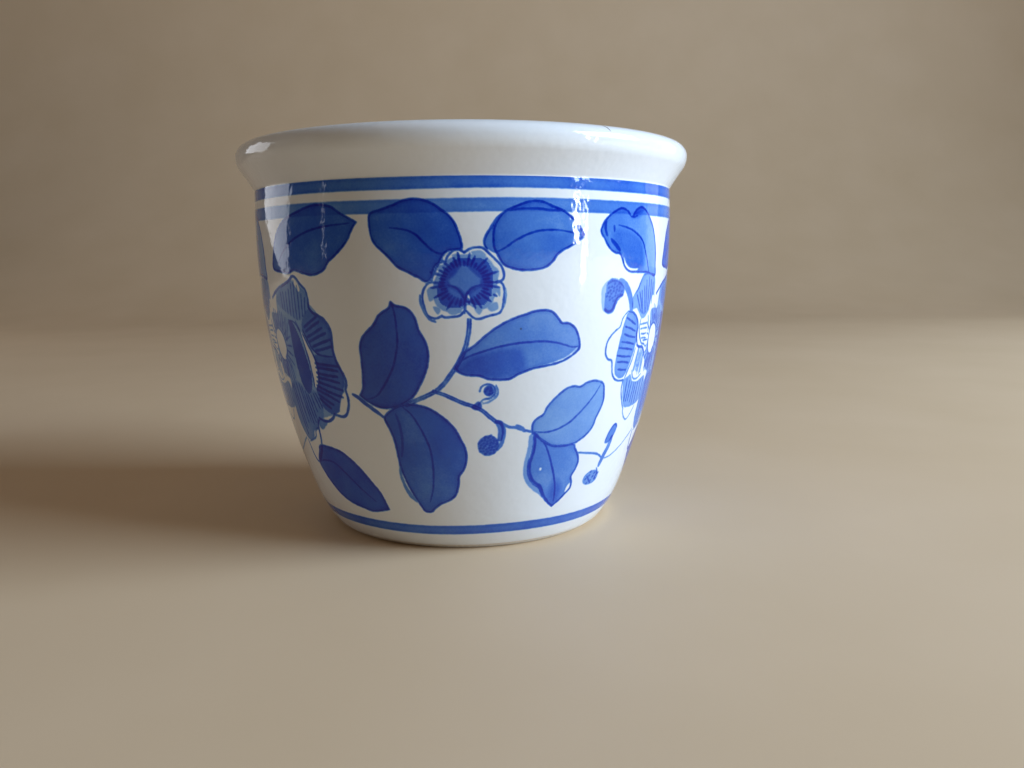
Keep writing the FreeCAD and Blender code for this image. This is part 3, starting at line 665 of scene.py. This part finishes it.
# The bloom: an open flower with pleated petals round a white heart, a leaf each side of it at the
# lower line, a bean-shaped bud on its left, a pointed petal below and a leaf hanging from that.
leaf([(33.4, 57.8), (34.3, 59.3), (36, 60.4), (38.3, 61.3), (40.5, 61.8), (42.8, 61.3), (44.4, 60.5),
      (46.2, 61.6), (48.6, 62.2), (51, 61.6), (53, 60.4), (55, 58.7), (56.5, 56.4), (57.3, 54),
      (57.5, 52), (57.8, 50.1), (55, 50.3), (52, 50.7), (49.3, 50.7), (45, 50.8), (43.3, 51.1),
      (41.9, 51.8), (41, 52.9), (40, 54), (38.3, 54.2), (36.8, 54.7), (35.5, 55.6), (34.5, 56.6)],
     [(39.3, 58.9), (42, 58.6), (44.7, 58.1), (47.2, 57.3), (49.5, 56.2), (50.9, 54.5), (52.3, 52.6),
      (53.4, 50.8)], 0.95, 0.62, ink=1.5)
wash([(37.2, 57.4), (40.5, 58.1), (44.6, 57.8), (47.8, 56.8), (49.6, 55), (50.2, 51.7), (45, 51.4),
      (42.8, 52.3), (41.2, 54.2), (38.4, 55)], 1.2, over=1.2)
wash([(44.5, 60.5), (46, 61.5), (48.6, 62), (49.8, 61.6), (47.8, 60.8)], 1.5, over=1.2)
bare([(41.6, 53.3), (42.6, 52.2), (44.3, 51.5), (47.8, 51.3), (45.2, 51), (43, 51.4),
      (41.7, 52.5)])
line([(35, 59.5), (34.8, 58.3), (35.4, 57.1)], 0.6, 1.0)
line([(37.7, 58.8), (37.8, 57.8)], 0.5, 0.9)
line([(36.7, 56.5), (38.4, 55.5), (39.9, 54.6)], 0.75, 1.1)
line([(42.6, 61.2), (43.8, 60.7), (45.2, 60.4), (47, 60.7)], 0.34, 1.1)

wash([(34.2, 46.6), (34.3, 48.2), (35.8, 49.3), (38, 49.7), (38, 46), (36.6, 44), (34.9, 44.4)], 0.34)
wash([(36, 48.8), (37.8, 49.5), (39.7, 49.4), (41.2, 48.9), (42.4, 48), (42.2, 46.9), (41, 46.5),
      (39.8, 46), (39.2, 45), (38.5, 44.1), (37, 43.8), (35.8, 44.2), (35.5, 45.5), (35.6, 47.4)],
     0.95)
line([(35.6, 44.5), (36.9, 43.9), (38.4, 44.2), (39.2, 45.3), (40.1, 46.3), (41.9, 46.8)], 0.7, 1.2)
line([(36.2, 48.9), (37.8, 49.5), (39.8, 49.4)], 0.6, 0.8)
line([(40.6, 49.3), (42.6, 48.6), (44.4, 47.2), (45.6, 45.6), (46.1, 44)], 1.35, 0.95, taper=0.7)
dots((38.7, 47.2), 2.9, 1.8, 26, 0.32, 0.8, (0.3, 0.1))

# petals on its left
line([(58, 50.1), (54.5, 50.4), (51.2, 50.2), (49.7, 49.1), (48.6, 47.8), (46.9, 46.6), (46.1, 45.5)],
     0.32, 1.2)
wash([(46.2, 45.4), (47.8, 47.2), (49.3, 48.6), (51.2, 50.1), (54, 50.3), (57.8, 49.8), (58.6, 47.5),
      (58.2, 45), (56, 43.8), (53.8, 42.4), (51.9, 42.2), (50.3, 43.2), (48.6, 44.2), (46.8, 44.1)], 0.6)
hatch([(50.6, 43.6), (52.6, 43), (54.6, 43.6), (57.2, 45)],
      [(48, 46.4), (50.4, 48.6), (54, 49.7), (57.4, 49.6)], 8)
bare([(55.9, 43.9), (56.8, 45.9), (58.3, 46.3), (59.1, 44.8), (58.2, 43.3)])
line([(44.6, 43.7), (42.9, 42.7), (42.1, 41.2), (40.5, 40.5), (38.8, 39.6), (37.8, 38.6), (37.5, 37.4),
      (37.8, 36.2), (38.9, 35.4), (40.3, 35.1), (40.8, 34), (41.3, 32.7), (42.6, 31.6), (44.5, 31.1),
      (47, 31), (47, 31), (46.8, 29.6), (47.6, 27.9), (49.2, 26), (50.2, 25.2)], 0.34, 1.4)
line([(49.9, 25.6), (50.5, 24.4), (51.8, 23.4), (53.6, 22.8), (55.4, 23.4), (57.6, 25.2)], 0.30, 1.0)
wash([(43.4, 41.4), (42.6, 38.6), (42, 36), (41.9, 33.9), (42.6, 32.4), (44.6, 31.5), (46.6, 31.6),
      (48.2, 33), (49.6, 35.5), (50.5, 38), (50.1, 40.5), (49.2, 42.2), (46.9, 43.5), (44.8, 43.5)], 0.72)
hatch([(48.9, 41.6), (49.4, 38.6), (48.6, 35.6), (47.2, 32.6)],
      [(44.8, 43), (42.9, 39.6), (42.2, 36.2), (42.8, 33)], 8, 0.34, 1.2)
line([(44.8, 43.8), (47.2, 43.5), (49.3, 42.4), (50.3, 41), (50.3, 39.3), (50.9, 38), (51.6, 37.2)],
     0.42, 1.5)
line([(51, 37.4), (52.6, 36.9), (54.6, 36.7), (56.2, 35.8), (57.6, 34.4)], 0.5, 1.5)
line([(47.4, 31.2), (48.6, 33), (49.8, 34.6), (50.6, 36.8)], 0.32, 1.2)
hatch([(51.6, 41.4), (52.4, 39.8), (53.6, 38.2)], [(56.2, 41.6), (56.6, 39.8), (56.6, 38)], 4, 0.30, 1.1)
line([(51.6, 42.2), (51.2, 40.6), (52, 39), (53.6, 37.6), (55.2, 37.3), (57, 36.6)], 0.32, 1.2)
line([(55.8, 42.6), (56.6, 41), (57.2, 39.6)], 0.30, 1.1)
hatch([(52.2, 36.6), (54.4, 36.2), (56.4, 35.2)], [(51, 32.2), (53.4, 31.4), (56.6, 31.6)], 7, 0.34, 0.95)
line([(50.6, 32.6), (52.2, 31), (54.6, 30.7), (57.2, 31.4)], 0.30, 1.0)
wash([(47.2, 30.8), (49.2, 31.6), (50.6, 31.8), (52.4, 30.4), (56, 30.2), (60.5, 30.8), (62, 27.5),
      (59.5, 25.8), (55.5, 25.3), (52.5, 25.3), (50.2, 25.6), (48.2, 27.8)], 0.62)
hatch([(48.6, 31.2), (52.4, 30.2), (56, 29.9), (60.5, 30.5)],
      [(49.3, 26.8), (52, 25.6), (56.2, 25.5), (60.5, 26.2)], 8)

# petals on its right
wash([(62.5, 24), (62.5, 45), (66, 48.4), (72, 49.6), (77.5, 46.6), (83.5, 42), (86, 33.5), (83.5, 27),
      (76, 25), (70, 22.4), (65, 20.4)], 0.5)
line([(60.3, 46.6), (63, 47.7), (65.8, 48.6), (67.8, 49), (71, 49.8), (72.7, 50.6), (74.2, 50.4),
      (76, 49.2), (77.7, 48.3), (78.3, 46.8), (78.3, 45.3), (78.3, 45.3), (79.5, 44.4), (81.5, 43.9),
      (83.5, 43.1), (84.9, 41.6), (85, 39.5), (84.9, 37.8), (85.4, 36.2), (86.2, 35), (87.2, 33.6),
      (87.6, 32.2), (86.9, 31), (86.9, 31), (87.3, 29.6), (87, 28), (86, 26.6), (84.4, 25.9),
      (82.4, 26), (81.2, 26.1), (81.2, 26.1), (79.9, 25.2), (78, 24.6), (76, 24.5), (74, 24.9)],
     0.5, 1.6, taper=0.9)
wash([(64, 47.2), (66.7, 48.6), (70.8, 49.5), (72.4, 50.2), (74.2, 50), (75.6, 49), (77.4, 48.1),
      (78, 46.6), (78, 45.2), (76, 43.6), (73.5, 42.9), (70, 43.7), (66, 44.7), (63.5, 45.7)], 0.72)
hatch([(66, 44.8), (69.5, 43.8), (73.5, 43), (77, 44.4)],
      [(65.6, 47.6), (69.8, 49), (73.8, 49.8), (77.7, 47.2)], 9, tone=1.2)
bare([(72.5, 50), (73.5, 49.2), (75, 48), (75.5, 48.6), (74.4, 49.8), (73.2, 50.4)])
wash([(74.4, 41.2), (75.4, 43.4), (78.3, 45.1), (80.8, 43.9), (83.3, 43), (84.6, 41.4), (84.7, 38.5),
      (84.7, 36.9), (82, 36.6), (79.4, 36.7), (77.7, 37.9), (76.2, 39.3)], 1.15)
hatch([(75.4, 42), (76.5, 39.6), (79, 37.4)], [(80.3, 44), (84.1, 41.8), (84.5, 38.2)], 6, 0.5, 1.3)
wash([(77.2, 36.3), (79.4, 37.1), (82, 37), (84.9, 36.6), (86.6, 34.6), (87.2, 32.4), (86.5, 31),
      (86, 29.2), (83.8, 27), (81.3, 26.2), (79, 26.4), (76.6, 27.6), (75.8, 29.8), (76.6, 31.6),
      (77.6, 33.8)], 1.3)
hatch([(77.6, 35.6), (77.4, 33.2), (76.4, 30.8), (76.6, 28.6)],
      [(85.8, 35.4), (86.9, 32.6), (85.2, 29), (80.6, 26.6)], 9, 0.5, 1.5)
line([(74.6, 41.2), (76.2, 39.2), (77.8, 37.7), (80.4, 36.9), (84.6, 36.8)], 0.34, 1.5)
bare([(83.4, 26.4), (84.3, 28.4), (86.1, 30.4), (86.9, 29.4), (86.6, 28), (85.6, 26.9), (84.4, 26.2)])
wash([(68.4, 42.6), (70.5, 42.3), (72.3, 40.3), (73.7, 37.6), (74.6, 35), (74.9, 32.6), (73.6, 30.2),
      (71.5, 29.4), (69.6, 31), (68.8, 34), (68.5, 37), (68.2, 40)], 1.7)
wash([(66, 31.6), (69, 30.8), (71.5, 29.2), (74, 30.2), (75.8, 29.8), (77, 27.4), (76, 25.2),
      (73.6, 24.6), (72, 22.9), (69.4, 22), (68, 20.6), (65, 19.7), (62.5, 20.5), (60.5, 23.5),
      (61, 28.5), (63, 31)], 0.8)
hatch([(62.6, 30.4), (67, 31), (71.5, 29.2), (75.2, 29.8)],
      [(64, 20.6), (69, 22.2), (73, 24.8), (77.4, 27)], 10, 0.34, 1.2)
bare([(73.5, 41), (74.9, 39.2), (76.7, 37.4), (77.8, 35.6), (77.9, 33.5), (77.2, 31.6), (75.8, 30.8),
      (75.5, 32.6), (75.3, 34.5), (74.9, 36.4), (74, 38.6)])
line([(73.5, 40.6), (74.4, 38.2), (75.2, 35.8), (75.5, 33.2), (75.4, 30.8)], 0.34, 1.6)
line([(74.4, 40.4), (76, 38.4), (77.6, 36.4), (78.1, 34), (77.4, 31.8), (76, 30.4)], 0.34, 1.6)
line([(71.8, 42.8), (73.4, 40.8), (71.4, 42.4), (68.4, 42.8)], 0.34, 1.3)
line([(74.6, 24.9), (73, 24), (72.2, 22.9), (70.2, 22.2), (69.2, 20.9), (67, 20.1), (64, 19.4)], 0.34,
     1.4)
wash([(73.8, 24.9), (77.6, 24.6), (76.2, 23.5), (74.2, 22.7), (73, 23.4)], 0.75)
wash([(57.4, 43.6), (62, 43.8), (66, 43.6), (68.2, 42.4), (68.3, 38), (67.8, 34), (66.3, 31.6),
      (62, 31.6), (58.4, 33.2), (57.6, 36), (58, 40)], 0.62)
hatch([(60, 41.4), (63.5, 41), (66, 38.6)], [(59, 44.6), (64, 44.8), (68, 42)], 7)
hatch([(59.5, 35.4), (62.5, 34.8), (65.4, 35.6)], [(58.6, 31.8), (62.6, 31.2), (66.6, 31.6)], 7)
hatch([(65.2, 39.6), (65.6, 37.4), (65, 35.4)], [(68, 40.4), (68.2, 37), (67.4, 33.6)], 4)
heart = [(58.2, 38.6), (59, 40.4), (61.2, 41), (63.6, 40), (64.6, 37.8), (63.8, 35.8),
         (61.6, 35), (59.2, 36)]
bare(heart)
line(heart, 0.34, 1.1, closed=True)
fringe((61.3, 38), 3.4, 3.1, 22, 1.15, reach=1.75, swing=0.30, beat=3, width=0.30, tone=1.2)
line([(62.8, 35.6), (64.2, 36.4), (64.6, 37.4)], 0.5, 1.2)

# its pointed petal, and its two leaves on the right
line([(73, 24.6), (72.3, 22.7), (71.6, 20.3), (69.9, 18), (67.2, 16.1), (65, 15.5), (63.6, 16.8),
      (62.8, 19.6)], 0.5, 1.4)
leaf([(65.8, 15.3), (68, 17.5), (70.2, 19.2), (75, 19.3), (78.7, 19), (81, 18.5), (84, 17.2),
      (86.7, 15.5), (89, 13.6), (91.1, 11.8), (92, 10.5), (93, 8.2), (93, 8.2), (90, 7.7),
      (86, 7.3), (82.7, 7.6), (78.3, 8.1), (75, 8.8), (72, 9.9), (70, 11.1), (67.7, 12.8)],
     [(66.3, 15.6), (70, 16.2), (75, 16.2), (79.3, 14.4), (84, 11.8), (88.7, 9.5)], 1.5, 1.75)
leaf([(63.6, 52), (64.2, 54.4), (65.4, 56.6), (67.4, 58.6), (71, 60.4), (77, 61.7), (83, 62.6),
      (87.6, 62.2), (90.6, 61), (94.8, 59.5), (94.8, 59.5), (93.6, 58.4), (92.5, 56.9), (90.6, 55.4),
      (88.2, 54), (86.4, 53.1), (85, 51.9), (83, 51.2), (80.6, 50.9), (77.5, 51.2), (74, 51.7),
      (71.5, 51.2), (68, 51.4)],
     [(66.4, 52.8), (71, 55.6), (77, 57.6), (84, 58.8), (93, 59.4)], 1.2, 1.35)


# The painted glaze: the same clear glaze, over cobalt. The blue is pale where the brush was thin,
# nearly navy where lines lie on washes, and its edges have bled a little into the glaze.
COBALT_TAKES = (2.75, 1.55, 0.34)    # how fast red, green and blue are lost as cobalt thickens
DEEPEST = 4.0
# sizes in mm of what shows in a stroke: its ragged edge, the marks of the bristles, pooled
# colour, the brush's changing pressure, and the pigment's grain, drawn coarser than it is
EDGE, BRISTLES, POOLS, PRESSURE, PIGMENT = 1.0, 0.8, 6.0, 2.2, 0.35
painted_glaze, tree, surface, where, white = glaze_material("clear_glaze_over_cobalt_brushwork")
layers = {
    name: add(tree, "Attribute", {"attribute_name": name}, out="Fac")
    for name in ("wash_edge", "wash_tone", "line_edge", "line_tone", "band_edge", "band_tone")
}
SMOOTH = {"interpolation_type": "SMOOTHSTEP"}
SUM = {"operation": "ADD"}
TIMES = {"operation": "MULTIPLY"}
SCALED = {"operation": "MULTIPLY_ADD"}
ragged = add(tree, "TexNoise", {}, Vector=where, Scale=1 / (EDGE * MM), Detail=3.0)
ragged = add(tree, "Math", SCALED, ragged, 0.30, -0.15)
bristles = add(tree, "TexNoise", {}, Vector=where, Scale=1 / (BRISTLES * MM), Detail=3.0)
pools = add(tree, "TexNoise", {}, Vector=where, Scale=1 / (POOLS * MM), Detail=3.0, Roughness=0.6)
pools = add(tree, "Math", SCALED, pools, 0.7, 0.65)
grains = add(tree, "TexNoise", {}, Vector=where, Scale=1 / (PIGMENT * MM), Detail=2.0)
grains = add(tree, "Math", SCALED, grains, 0.30, 0.82)

wash_in = add(tree, "Math", SUM, layers["wash_edge"], ragged)
wash_mask = add(tree, "MapRange", SMOOTH, wash_in, -0.14, 0.20)
rim = add(tree, "MapRange", SMOOTH, wash_in, 0.9, 0.1, 1.0, 1.14)
wash_layer = add(tree, "Math", TIMES, layers["wash_tone"], pools)
wash_layer = add(tree, "Math", TIMES, wash_layer, rim)
wash_layer = add(tree, "Math", TIMES, wash_layer, wash_mask)

line_in = add(tree, "Math", SCALED, bristles, 0.22, layers["line_edge"])
line_mask = add(tree, "MapRange", SMOOTH, line_in, -0.04, 0.26)
pressure = add(tree, "TexNoise", {}, Vector=where, Scale=1 / (PRESSURE * MM), Detail=2.0)
pressure = add(tree, "Math", SCALED, pressure, 1.0, 0.45)
line_layer = add(tree, "Math", TIMES, layers["line_tone"], pressure)
line_layer = add(tree, "Math", TIMES, line_layer, line_mask)

band_in = add(tree, "Math", SCALED, ragged, 0.5, layers["band_edge"])
band_mask = add(tree, "MapRange", SMOOTH, band_in, -0.16, 0.20)
band_rim = add(tree, "MapRange", SMOOTH, band_in, 0.8, 0.1, 0.92, 1.08)
band_layer = add(tree, "Math", TIMES, band_rim, pools)
band_layer = add(tree, "Math", TIMES, band_layer, band_mask)
band_layer = add(tree, "Math", TIMES, band_layer, layers["band_tone"])

cobalt = add(tree, "Math", {"operation": "MAXIMUM"}, wash_layer, band_layer)
both = add(tree, "Math", TIMES, wash_layer, band_layer)
cobalt = add(tree, "Math", SCALED, both, 0.25, cobalt)
cobalt = add(tree, "Math", SUM, cobalt, line_layer)
cobalt = add(tree, "Math", TIMES, cobalt, grains)
cobalt = add(tree, "Math", {"operation": "DIVIDE"}, cobalt, DEEPEST)
STOPS = (0.0, 0.06, 0.13, 0.22, 0.33, 0.47, 0.7, 1.0)
blues = add(tree, "ValToRGB", {}, cobalt)
stops = blues.node.color_ramp.elements
while len(stops) < len(STOPS):
    stops.new(0.5)
for stop, share in zip(stops, STOPS):
    stop.position = share
    stop.color = (*[math.exp(-takes * share * DEEPEST) for takes in COBALT_TAKES], 1.0)
INKS = {**MIXES_COLOURS, "blend_type": "MULTIPLY"}
inked = add(tree, "Mix", INKS, Factor=1.0, A=white, B=blues, out="Result")
wire(surface, Base_Color=inked)

# Laying the marks on a piece of the wall. Each of its points keeps how far inside (+) or outside
# (-) the nearest mark's edge it is, in mm, and how strong that mark is. The two rounds of the
# pattern behind drift a little from the first, as hand painting does.
REPEATS = 3
NO_MARK = -9.0
BAND_TONES = {"upper_line": 1.2, "lower_line": 1.0, "foot_line": 1.3}
BANDS = [
    (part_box("cobalt_" + name)[0][2] / MM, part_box("cobalt_" + name)[1][2] / MM)
    for name in BAND_TONES
]
MARK_SPAN = (-32.0, 96.0)
MARGIN, MARGIN_AROUND = 1.0, 2.0    # mm and degrees past a mark that it is worked out for
HELD_STILL, DRIFTS_IN = 98, 20      # degrees from the front, and over which the drift grows
WIDEST_DEGREE = 0.73                # mm in a degree round the widest part of the wall


def inside(path, around, height):
    """True for points inside a closed path, by counting the edges to their right."""
    result = np.zeros(len(around), bool)
    for (a, b), (c, d) in zip(path, np.roll(path, -1, axis=0)):
        if b != d:
            result ^= ((b > height) != (d > height)) & (around < a + (height - b) * (c - a) / (d - b))
    return result


def nearest(path, around, height, radius, half_widths=None):
    """Distance in mm to a path or, with half_widths, how far outside a line's edge."""
    scale = np.radians(1) * radius
    best = np.full(len(around), np.inf)
    for i in range(len(path) - 1):
        ax, ay = (path[i, 0] - around) * scale, path[i, 1] - height
        dx, dy = (path[i + 1, 0] - path[i, 0]) * scale, path[i + 1, 1] - path[i, 1]
        along = np.clip(-(ax * dx + ay * dy) / np.maximum(dx * dx + dy * dy, 1e-9), 0, 1)
        gap = np.hypot(ax + along * dx, ay + along * dy)
        if half_widths is not None:
            gap -= half_widths[i] * (1 - along) + half_widths[i + 1] * along
        np.minimum(best, gap, out=best)
    return best


def paint(piece, brushwork=True):
    """Works out the brushwork for every point of a piece and stores it on its mesh."""
    mesh = piece.data
    co = np.empty(len(mesh.vertices) * 3)
    mesh.vertices.foreach_get("co", co)
    co = co.reshape(-1, 3) / MM
    angle = np.degrees(np.arctan2(co[:, 0], -co[:, 1]))
    radius = np.hypot(co[:, 0], co[:, 1])
    hidden = np.clip((np.abs(angle) - HELD_STILL) / DRIFTS_IN, 0, 1)
    drift = hidden * (0.9 * np.sin(np.radians(2 * angle)) + 0.6 * np.sin(np.radians(5 * angle) + 1))
    height = co[:, 2] + hidden * 0.45 * np.sin(np.radians(3 * angle) + 2)
    values = {name: np.full(len(co), NO_MARK) for name in ("wash_edge", "line_edge")}
    values["wash_tone"] = np.zeros(len(co))
    values["line_tone"] = np.zeros(len(co))
    middle = sum(MARK_SPAN) / 2
    for repeat in range(REPEATS if brushwork else 0):
        shifted = angle + drift - repeat * 360 / REPEATS
        around_all = (shifted - middle + 180) % 360 - 180 + middle
        past_left = around_all > MARK_SPAN[0] - MARGIN_AROUND
        reached = np.nonzero(past_left & (around_all < MARK_SPAN[1] + MARGIN_AROUND))[0]
        if not len(reached):
            continue
        near_around, near_height = around_all[reached], height[reached]
        for kind, path, tone, extra, soft in marks:
            (left, low), (right, high) = path.min(axis=0), path.max(axis=0)
            hit = (near_around > left - MARGIN_AROUND) & (near_around < right + MARGIN_AROUND)
            hit &= (near_height > low - MARGIN) & (near_height < high + MARGIN)
            at = reached[hit]
            if not len(at):
                continue
            x, y, r = around_all[at], height[at], radius[at]
            if kind == "line":
                within = -nearest(path, x, y, r, extra)
                closer = within > values["line_edge"][at]
                values["line_edge"][at[closer]] = within[closer]
                values["line_tone"][at[closer]] = tone
                continue
            depth = nearest(np.vstack([path, path[:1]]), x, y, r)
            depth[~inside(path, x, y)] *= -1
            edge_so_far = values["wash_edge"][at]
            if kind == "bare":
                values["wash_edge"][at] = np.minimum(edge_so_far, -depth)
                continue
            way = path[np.argmax(np.hypot(*((path - path[0]) * (WIDEST_DEGREE, 1)).T))] - path[0]
            run = np.clip(((x - path[0, 0]) * way[0] + (y - path[0, 1]) * way[1]) / (way @ way), 0, 1)
            strength = tone + ((tone if extra is None else extra) - tone) * run
            if kind == "over":
                share = np.clip(depth / soft + 0.5, 0, 1)
                values["wash_tone"][at] += (strength - values["wash_tone"][at]) * share
                continue
            closer = (depth > 0) | (depth > edge_so_far)
            values["wash_tone"][at[closer]] = strength[closer]
            values["wash_edge"][at] = np.maximum(edge_so_far, depth)
    wobble = 0.08 * np.sin(np.radians(3 * angle + 40)) + 0.05 * np.sin(np.radians(7 * angle))
    depths = np.array(
        [(high - low) / 2 - np.abs(co[:, 2] - (low + high) / 2 - wobble) for low, high in BANDS]
    )
    values["band_edge"] = depths.max(axis=0)
    values["band_tone"] = np.array(list(BAND_TONES.values()))[depths.argmax(axis=0)]
    for name, value in values.items():
        layer = mesh.attributes.new(name, "FLOAT", "POINT")
        layer.data.foreach_set("value", value.astype(np.float32))


def wall_radius(height, inset=0.0):
    """The outside of the cup below the neck, at a height, in mm; inset goes into the wall."""
    if height > FOOT_JOIN:
        return WALL_CENTRE[0] + math.sqrt((WALL_ARC - inset) ** 2 - (height - WALL_CENTRE[1]) ** 2)
    return FOOT_CENTRE[0] + math.sqrt((FOOT_ARC - inset) ** 2 - (height - FOOT_CENTRE[1]) ** 2)


def coat(low, high, spacing):
    """A slice of the glaze coat: its face in steps of about spacing, its hidden back in few."""
    rows, back_rows = max(2, round((high - low) / spacing)), max(1, round((high - low) / BACK_STEP))
    heights = [low + (high - low) * i / rows for i in range(rows + 1)]
    backs = [high - (high - low) * i / back_rows for i in range(back_rows + 1)]
    return [(wall_radius(z), z) for z in heights] + [(wall_radius(z) - GLAZE, z) for z in backs]


# The painted wall: the coat of glaze between the foot line and the two neck lines, in eight parts
# round the cup so that none carries too many faces. Points every 0.2 mm hold the brushwork.
PAINT_STEP, BACK_STEP = 0.20, 6.0    # mm
PANELS = 8
SECTOR = 360 / PANELS
sector_steps = round(math.radians(SECTOR) * wall_radius(WALL_CENTRE[1]) / PAINT_STEP)
for number in range(PANELS):
    panel = spun(
        f"painted_wall_{number + 1}", coat(BANDS[2][1], BANDS[1][0], PAINT_STEP), sector_steps,
        start=number * SECTOR - SECTOR / 2, sweep=SECTOR,
    )
    paint(panel)
    panel.data.materials.append(painted_glaze)
    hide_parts("outer_glaze")

# The three painted lines, banded on with the cup turning, and the white strips of the same coat
# that part them. The lowest strip stops short of the table, where the glaze was wiped off the
# foot. The rings round the foot take coarser steps, as they carry no brushwork.
GLAZE_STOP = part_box("outer_glaze")[0][2] / MM
FOOT_RING_STEPS = 360
RINGS = {
    "line_under_lip": (*BANDS[0], "cobalt_upper_line", "cobalt"),
    "strip_between_lines": (BANDS[1][1], BANDS[0][0], "outer_glaze", "white_glaze"),
    "line_over_leaves": (*BANDS[1], "cobalt_lower_line", "cobalt"),
    "line_over_foot": (*BANDS[2], "cobalt_foot_line", "cobalt"),
    "strip_over_foot": (GLAZE_STOP, BANDS[2][0], "outer_glaze", "white_glaze"),
}
for name, (low, high, node, slot) in RINGS.items():
    at_neck = low > BANDS[2][1]
    ring = spun(name, coat(low, high, PAINT_STEP), PANELS * sector_steps if at_neck else FOOT_RING_STEPS)
    paint(ring, brushwork=at_neck)
    ring.data.materials.append(painted_glaze)
    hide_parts(node)
